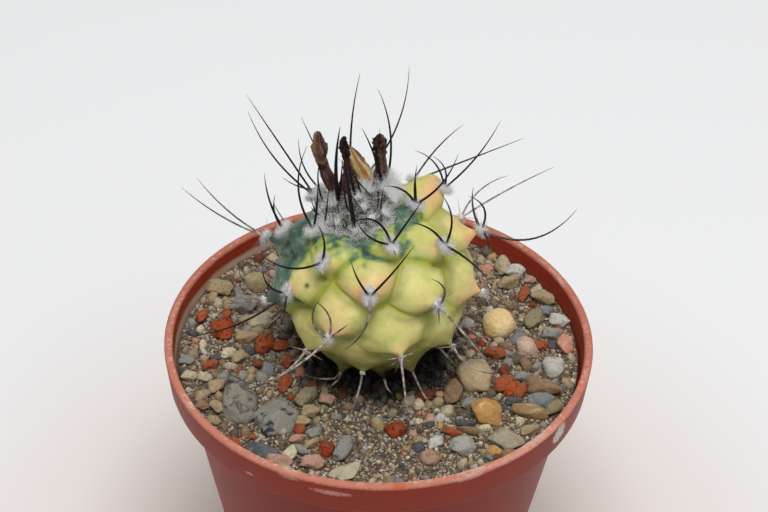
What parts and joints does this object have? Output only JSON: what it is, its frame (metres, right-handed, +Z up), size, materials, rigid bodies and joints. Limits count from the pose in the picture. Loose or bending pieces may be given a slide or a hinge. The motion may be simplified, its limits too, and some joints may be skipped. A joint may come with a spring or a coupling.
{
  "type": "potted variegated turbinicarpus cactus",
  "caption": "Small globular variegated cactus with woolly areoles and curved spines, standing in gravel in a round tapered pot with a rim band.",
  "frame": {"origin": "centre of the pot's flat base, on the surface it stands on", "axes": "+Z up out of the pot, +X to the right and -Y to the front of the plant"},
  "size_m": [0.055, 0.055, 0.0839],
  "materials": {
    "pot_plastic": "terracotta-red injection-moulded plastic, dull with a slight sheen, with pale scuffs on the rim",
    "gravel": "mixed fine mineral gravel, dull and dry",
    "stone_grey": "grey and slate pebbles, dull",
    "stone_lava": "porous red lava grains, dull",
    "stone_tan": "tan, golden and ochre pebbles, dull, partly worn smooth",
    "stone_pale": "pale grey and beige pebbles, dull",
    "plant_skin": "waxy living skin, variegated cream-yellow and olive to blue-green, with a soft sheen",
    "crown_wool": "white matted plant wool with dark spines in it",
    "areole_wool": "short white to grey-brown wool, with horny brown spines",
    "withered_flower": "dry papery brown flower remains",
    "dry_sepal": "dry papery sepal with tan and green stripes"
  },
  "bodies": {
    "root": {"pot": "pot_plastic", "soil": "gravel", "stone_grey_left": "stone_grey", "stone_grey_veined": "stone_grey", "stone_slate": "stone_grey", "stone_lava_front": "stone_lava", "stone_lava_left": "stone_lava", "stone_lava_near_stem": "stone_lava", "stone_lava_corner": "stone_lava", "stone_lava_right": "stone_lava", "stone_ochre": "stone_tan", "stone_pinkish": "stone_tan", "stone_white_grey": "stone_pale", "stone_salmon": "stone_tan", "stone_tan_big": "stone_tan", "stone_golden": "stone_tan", "stone_tan_long": "stone_tan", "stone_beige_wedge": "stone_pale", "stone_grey_white": "stone_pale", "stone_pink_tan": "stone_tan", "stone_pale_flat": "stone_pale", "stone_tan_back": "stone_tan", "stem": "plant_skin", "crown_wool": "crown_wool", "withered_flower_left": "withered_flower", "withered_flower_middle": "withered_flower", "withered_flower_right": "withered_flower", "dry_sepal": "dry_sepal", "areole_01": "areole_wool", "areole_02": "areole_wool", "areole_03": "areole_wool", "areole_04": "areole_wool", "areole_05": "areole_wool", "areole_06": "areole_wool", "areole_07": "areole_wool", "areole_08": "areole_wool", "areole_09": "areole_wool", "areole_10": "areole_wool", "areole_11": "areole_wool", "areole_12": "areole_wool", "areole_13": "areole_wool", "areole_14": "areole_wool", "areole_15": "areole_wool", "areole_16": "areole_wool", "areole_17": "areole_wool", "areole_18": "areole_wool", "areole_19": "areole_wool", "areole_20": "areole_wool", "areole_21": "areole_wool", "areole_22": "areole_wool", "areole_23": "areole_wool", "areole_24": "areole_wool", "areole_25": "areole_wool", "areole_26": "areole_wool", "areole_27": "areole_wool", "areole_28": "areole_wool", "areole_29": "areole_wool"}
  },
  "joints": []
}
